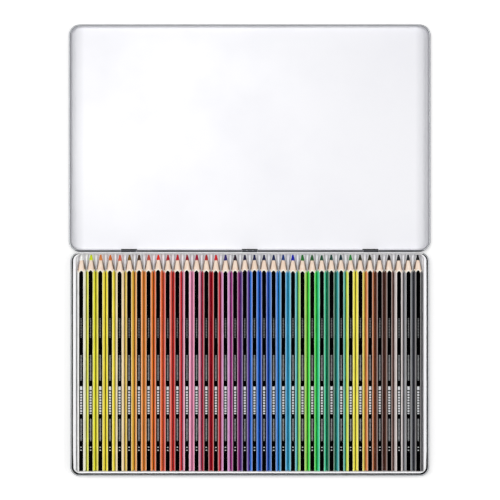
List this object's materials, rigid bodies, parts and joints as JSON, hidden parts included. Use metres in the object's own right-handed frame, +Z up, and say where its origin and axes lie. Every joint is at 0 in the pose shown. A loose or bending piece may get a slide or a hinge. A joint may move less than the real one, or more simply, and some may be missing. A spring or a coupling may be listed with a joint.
{
  "type": "colored pencil tin",
  "caption": "Flat hinged metal tin, open, with sharpened hexagonal colouring pencils lying side by side in a formed plastic tray.",
  "frame": {"origin": "centre of the underside of the base", "axes": "+X to the right along the row of pencils, +Y from the flat ends of the pencils to their points and on to the opened lid, +Z up"},
  "size_m": [0.2958, 0.3685, 0.0108],
  "materials": {
    "outside_lacquer": "satin lacquer outside, white satin lacquer inside, bare tinplate on the rolled rims",
    "tray_plastic": "satin, vacuum formed",
    "pin_steel": "drawn wire",
    "casing_white": "gloss lacquer in two alternating colours over wood, bare wood at the point",
    "casing_lemon_green": "gloss lacquer in two alternating colours over wood, bare wood at the point",
    "casing_pale_yellow": "gloss lacquer in two alternating colours over wood, bare wood at the point",
    "casing_golden_yellow": "gloss lacquer in two alternating colours over wood, bare wood at the point",
    "casing_cream": "gloss lacquer in two alternating colours over wood, bare wood at the point",
    "casing_ochre": "gloss lacquer in two alternating colours over wood, bare wood at the point",
    "casing_light_orange": "gloss lacquer in two alternating colours over wood, bare wood at the point",
    "casing_orange": "gloss lacquer in two alternating colours over wood, bare wood at the point",
    "casing_deep_orange": "gloss lacquer in two alternating colours over wood, bare wood at the point",
    "casing_salmon_red": "gloss lacquer in two alternating colours over wood, bare wood at the point",
    "casing_red": "gloss lacquer in two alternating colours over wood, bare wood at the point",
    "casing_light_pink": "gloss lacquer in two alternating colours over wood, bare wood at the point",
    "casing_pink": "gloss lacquer in two alternating colours over wood, bare wood at the point",
    "casing_carmine": "gloss lacquer in two alternating colours over wood, bare wood at the point",
    "casing_bright_red": "gloss lacquer in two alternating colours over wood, bare wood at the point",
    "casing_lilac": "gloss lacquer in two alternating colours over wood, bare wood at the point",
    "casing_magenta": "gloss lacquer in two alternating colours over wood, bare wood at the point",
    "casing_violet": "gloss lacquer in two alternating colours over wood, bare wood at the point",
    "casing_mid_blue": "gloss lacquer in two alternating colours over wood, bare wood at the point",
    "casing_dark_blue": "gloss lacquer in two alternating colours over wood, bare wood at the point",
    "casing_sky_blue": "gloss lacquer in two alternating colours over wood, bare wood at the point",
    "casing_cyan_blue": "gloss lacquer in two alternating colours over wood, bare wood at the point",
    "casing_light_blue": "gloss lacquer in two alternating colours over wood, bare wood at the point",
    "casing_light_green": "gloss lacquer in two alternating colours over wood, bare wood at the point",
    "casing_bright_green": "gloss lacquer in two alternating colours over wood, bare wood at the point",
    "casing_mint_green": "gloss lacquer in two alternating colours over wood, bare wood at the point",
    "casing_dark_green": "gloss lacquer in two alternating colours over wood, bare wood at the point",
    "casing_teal": "gloss lacquer in two alternating colours over wood, bare wood at the point",
    "casing_yellow_two": "gloss lacquer in two alternating colours over wood, bare wood at the point",
    "casing_yellow_three": "gloss lacquer in two alternating colours over wood, bare wood at the point",
    "casing_rust_brown": "gloss lacquer in two alternating colours over wood, bare wood at the point",
    "casing_dark_brown": "gloss lacquer in two alternating colours over wood, bare wood at the point",
    "casing_umber": "gloss lacquer in two alternating colours over wood, bare wood at the point",
    "casing_warm_grey": "gloss lacquer in two alternating colours over wood, bare wood at the point",
    "casing_grey": "gloss lacquer in two alternating colours over wood, bare wood at the point",
    "casing_black": "gloss lacquer in two alternating colours over wood, bare wood at the point"
  },
  "bodies": {
    "base": {"base_tin": "outside_lacquer"},
    "lid": {"lid_tin": "outside_lacquer", "hinge_pin_left": "pin_steel", "hinge_pin_centre": "pin_steel", "hinge_pin_right": "pin_steel"},
    "tray": {"pencil_tray": "tray_plastic"},
    "pencil_01": {"pencil_01": "casing_white"},
    "pencil_02": {"pencil_02": "casing_lemon_green"},
    "pencil_03": {"pencil_03": "casing_pale_yellow"},
    "pencil_04": {"pencil_04": "casing_golden_yellow"},
    "pencil_05": {"pencil_05": "casing_cream"},
    "pencil_06": {"pencil_06": "casing_ochre"},
    "pencil_07": {"pencil_07": "casing_light_orange"},
    "pencil_08": {"pencil_08": "casing_orange"},
    "pencil_09": {"pencil_09": "casing_deep_orange"},
    "pencil_10": {"pencil_10": "casing_salmon_red"},
    "pencil_11": {"pencil_11": "casing_red"},
    "pencil_12": {"pencil_12": "casing_light_pink"},
    "pencil_13": {"pencil_13": "casing_pink"},
    "pencil_14": {"pencil_14": "casing_carmine"},
    "pencil_15": {"pencil_15": "casing_bright_red"},
    "pencil_16": {"pencil_16": "casing_lilac"},
    "pencil_17": {"pencil_17": "casing_magenta"},
    "pencil_18": {"pencil_18": "casing_violet"},
    "pencil_19": {"pencil_19": "casing_mid_blue"},
    "pencil_20": {"pencil_20": "casing_dark_blue"},
    "pencil_21": {"pencil_21": "casing_sky_blue"},
    "pencil_22": {"pencil_22": "casing_cyan_blue"},
    "pencil_23": {"pencil_23": "casing_light_blue"},
    "pencil_24": {"pencil_24": "casing_light_green"},
    "pencil_25": {"pencil_25": "casing_bright_green"},
    "pencil_26": {"pencil_26": "casing_mint_green"},
    "pencil_27": {"pencil_27": "casing_dark_green"},
    "pencil_28": {"pencil_28": "casing_teal"},
    "pencil_29": {"pencil_29": "casing_yellow_two"},
    "pencil_30": {"pencil_30": "casing_yellow_three"},
    "pencil_31": {"pencil_31": "casing_rust_brown"},
    "pencil_32": {"pencil_32": "casing_dark_brown"},
    "pencil_33": {"pencil_33": "casing_umber"},
    "pencil_34": {"pencil_34": "casing_warm_grey"},
    "pencil_35": {"pencil_35": "casing_grey"},
    "pencil_36": {"pencil_36": "casing_black"}
  },
  "joints": [
    {"name": "lid_hinge", "type": "hinge", "parent": "base", "child": "lid", "pos_m": [0, 0.09218, 0.00564], "axis": [-1, 0, 0], "range_deg": [-180, 0]},
    {"name": "tray_lift", "type": "slide", "parent": "base", "child": "tray", "axis": [0, 0, 1], "range_m": [0, 0.02]},
    {"name": "pencil_01_lift", "type": "slide", "parent": "tray", "child": "pencil_01", "axis": [0, 0, 1], "range_m": [0, 0.02]},
    {"name": "pencil_02_lift", "type": "slide", "parent": "tray", "child": "pencil_02", "axis": [0, 0, 1], "range_m": [0, 0.02]},
    {"name": "pencil_03_lift", "type": "slide", "parent": "tray", "child": "pencil_03", "axis": [0, 0, 1], "range_m": [0, 0.02]},
    {"name": "pencil_04_lift", "type": "slide", "parent": "tray", "child": "pencil_04", "axis": [0, 0, 1], "range_m": [0, 0.02]},
    {"name": "pencil_05_lift", "type": "slide", "parent": "tray", "child": "pencil_05", "axis": [0, 0, 1], "range_m": [0, 0.02]},
    {"name": "pencil_06_lift", "type": "slide", "parent": "tray", "child": "pencil_06", "axis": [0, 0, 1], "range_m": [0, 0.02]},
    {"name": "pencil_07_lift", "type": "slide", "parent": "tray", "child": "pencil_07", "axis": [0, 0, 1], "range_m": [0, 0.02]},
    {"name": "pencil_08_lift", "type": "slide", "parent": "tray", "child": "pencil_08", "axis": [0, 0, 1], "range_m": [0, 0.02]},
    {"name": "pencil_09_lift", "type": "slide", "parent": "tray", "child": "pencil_09", "axis": [0, 0, 1], "range_m": [0, 0.02]},
    {"name": "pencil_10_lift", "type": "slide", "parent": "tray", "child": "pencil_10", "axis": [0, 0, 1], "range_m": [0, 0.02]},
    {"name": "pencil_11_lift", "type": "slide", "parent": "tray", "child": "pencil_11", "axis": [0, 0, 1], "range_m": [0, 0.02]},
    {"name": "pencil_12_lift", "type": "slide", "parent": "tray", "child": "pencil_12", "axis": [0, 0, 1], "range_m": [0, 0.02]},
    {"name": "pencil_13_lift", "type": "slide", "parent": "tray", "child": "pencil_13", "axis": [0, 0, 1], "range_m": [0, 0.02]},
    {"name": "pencil_14_lift", "type": "slide", "parent": "tray", "child": "pencil_14", "axis": [0, 0, 1], "range_m": [0, 0.02]},
    {"name": "pencil_15_lift", "type": "slide", "parent": "tray", "child": "pencil_15", "axis": [0, 0, 1], "range_m": [0, 0.02]},
    {"name": "pencil_16_lift", "type": "slide", "parent": "tray", "child": "pencil_16", "axis": [0, 0, 1], "range_m": [0, 0.02]},
    {"name": "pencil_17_lift", "type": "slide", "parent": "tray", "child": "pencil_17", "axis": [0, 0, 1], "range_m": [0, 0.02]},
    {"name": "pencil_18_lift", "type": "slide", "parent": "tray", "child": "pencil_18", "axis": [0, 0, 1], "range_m": [0, 0.02]},
    {"name": "pencil_19_lift", "type": "slide", "parent": "tray", "child": "pencil_19", "axis": [0, 0, 1], "range_m": [0, 0.02]},
    {"name": "pencil_20_lift", "type": "slide", "parent": "tray", "child": "pencil_20", "axis": [0, 0, 1], "range_m": [0, 0.02]},
    {"name": "pencil_21_lift", "type": "slide", "parent": "tray", "child": "pencil_21", "axis": [0, 0, 1], "range_m": [0, 0.02]},
    {"name": "pencil_22_lift", "type": "slide", "parent": "tray", "child": "pencil_22", "axis": [0, 0, 1], "range_m": [0, 0.02]},
    {"name": "pencil_23_lift", "type": "slide", "parent": "tray", "child": "pencil_23", "axis": [0, 0, 1], "range_m": [0, 0.02]},
    {"name": "pencil_24_lift", "type": "slide", "parent": "tray", "child": "pencil_24", "axis": [0, 0, 1], "range_m": [0, 0.02]},
    {"name": "pencil_25_lift", "type": "slide", "parent": "tray", "child": "pencil_25", "axis": [0, 0, 1], "range_m": [0, 0.02]},
    {"name": "pencil_26_lift", "type": "slide", "parent": "tray", "child": "pencil_26", "axis": [0, 0, 1], "range_m": [0, 0.02]},
    {"name": "pencil_27_lift", "type": "slide", "parent": "tray", "child": "pencil_27", "axis": [0, 0, 1], "range_m": [0, 0.02]},
    {"name": "pencil_28_lift", "type": "slide", "parent": "tray", "child": "pencil_28", "axis": [0, 0, 1], "range_m": [0, 0.02]},
    {"name": "pencil_29_lift", "type": "slide", "parent": "tray", "child": "pencil_29", "axis": [0, 0, 1], "range_m": [0, 0.02]},
    {"name": "pencil_30_lift", "type": "slide", "parent": "tray", "child": "pencil_30", "axis": [0, 0, 1], "range_m": [0, 0.02]},
    {"name": "pencil_31_lift", "type": "slide", "parent": "tray", "child": "pencil_31", "axis": [0, 0, 1], "range_m": [0, 0.02]},
    {"name": "pencil_32_lift", "type": "slide", "parent": "tray", "child": "pencil_32", "axis": [0, 0, 1], "range_m": [0, 0.02]},
    {"name": "pencil_33_lift", "type": "slide", "parent": "tray", "child": "pencil_33", "axis": [0, 0, 1], "range_m": [0, 0.02]},
    {"name": "pencil_34_lift", "type": "slide", "parent": "tray", "child": "pencil_34", "axis": [0, 0, 1], "range_m": [0, 0.02]},
    {"name": "pencil_35_lift", "type": "slide", "parent": "tray", "child": "pencil_35", "axis": [0, 0, 1], "range_m": [0, 0.02]},
    {"name": "pencil_36_lift", "type": "slide", "parent": "tray", "child": "pencil_36", "axis": [0, 0, 1], "range_m": [0, 0.02]}
  ]
}
